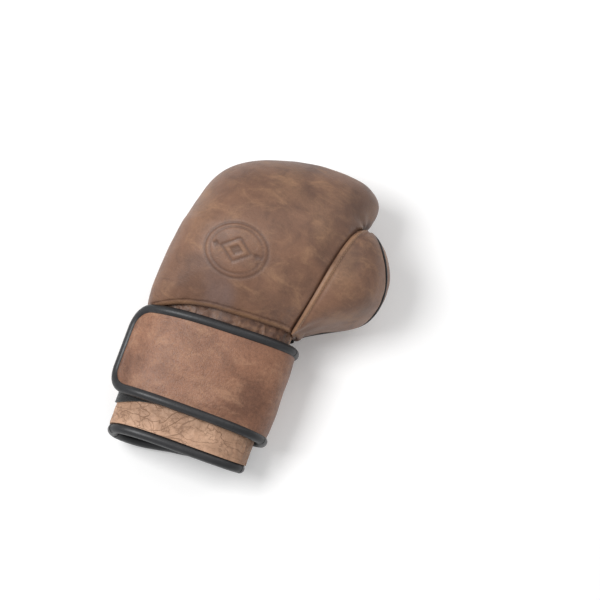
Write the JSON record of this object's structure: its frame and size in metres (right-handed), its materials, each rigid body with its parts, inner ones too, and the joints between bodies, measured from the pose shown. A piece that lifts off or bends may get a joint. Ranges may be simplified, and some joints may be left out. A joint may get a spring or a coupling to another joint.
{
  "type": "boxing glove",
  "caption": "Left-hand padded boxing glove of brown leather, hollow for hand and thumb, with a bound cuff and a wide hook-and-loop wrist strap that peels open.",
  "frame": {"origin": "middle of the bounding box's underside, on the surface that the glove lies on, palm down", "axes": "+X towards the thumb's side, +Y from the cuff's mouth towards the knuckles, +Z out of the back of the hand"},
  "size_m": [0.2002, 0.273, 0.118],
  "materials": {
    "brown_leather": "worn, mottled brown vintage leather with a waxy sheen and tan scuffs",
    "strap_leather": "finer grained reddish brown leather",
    "cuff_tan_leather": "lighter crinkled tan leather",
    "black_leather": "soft black leather",
    "black_binding": "smooth rolled black binding with a soft sheen",
    "loop_pile": "black loop pile",
    "hook_tape": "black hook tape",
    "gusset_fabric": "black stretch webbing",
    "lining_fabric": "dark woven lining",
    "foam": "layered foam padding, never seen from outside"
  },
  "bodies": {
    "glove": {"fist_back_leather": "brown_leather", "palm_leather": "brown_leather", "finger_curl_leather": "brown_leather", "base_seam_welt": "brown_leather", "knuckle_foam_outer": "foam", "knuckle_foam_inner": "foam", "palm_foam": "foam", "hand_lining": "lining_fabric", "grip_bar": "lining_fabric", "cuff_back_leather": "cuff_tan_leather", "cuff_palm_leather": "black_leather", "cuff_gusset": "gusset_fabric", "cuff_back_pad": "foam", "cuff_palm_pad": "foam", "cuff_lining": "lining_fabric", "cuff_rim_binding": "black_binding", "cuff_loop_patch": "loop_pile", "strap_base_core": "foam", "strap_base_leather": "strap_leather", "strap_base_binding_rim_side": "black_binding", "strap_base_binding_fist_side": "black_binding"},
    "strap_flap": {"flap_core": "foam", "flap_leather": "strap_leather", "flap_binding_rim_side": "black_binding", "flap_binding_fist_side": "black_binding"},
    "strap_tip": {"tip_core": "foam", "tip_leather": "strap_leather", "tip_binding": "black_binding", "tip_hook_patch": "hook_tape"},
    "thumb": {"thumb_back_leather": "brown_leather", "thumb_palm_leather": "brown_leather", "thumb_foam": "foam", "thumb_lining": "lining_fabric", "thumb_welt": "black_binding"}
  },
  "joints": [
    {"name": "strap_peel", "type": "hinge", "parent": "glove", "child": "strap_flap", "pos_m": [0.03988, -0.0608, 0.04991], "axis": [0, 0.9976, 0.0698], "range_deg": [0, 140]},
    {"name": "strap_tip_lift", "type": "hinge", "parent": "strap_flap", "child": "strap_tip", "pos_m": [-0.05114, -0.0608, 0.07756], "axis": [0, 0.9976, 0.0698], "range_deg": [0, 55]},
    {"name": "thumb_flex", "type": "hinge", "parent": "glove", "child": "thumb", "pos_m": [0.03509, -0.00187, 0.013], "axis": [0, 0, -1], "range_deg": [0, 6], "stiffness_Nm_per_rad": 1}
  ]
}
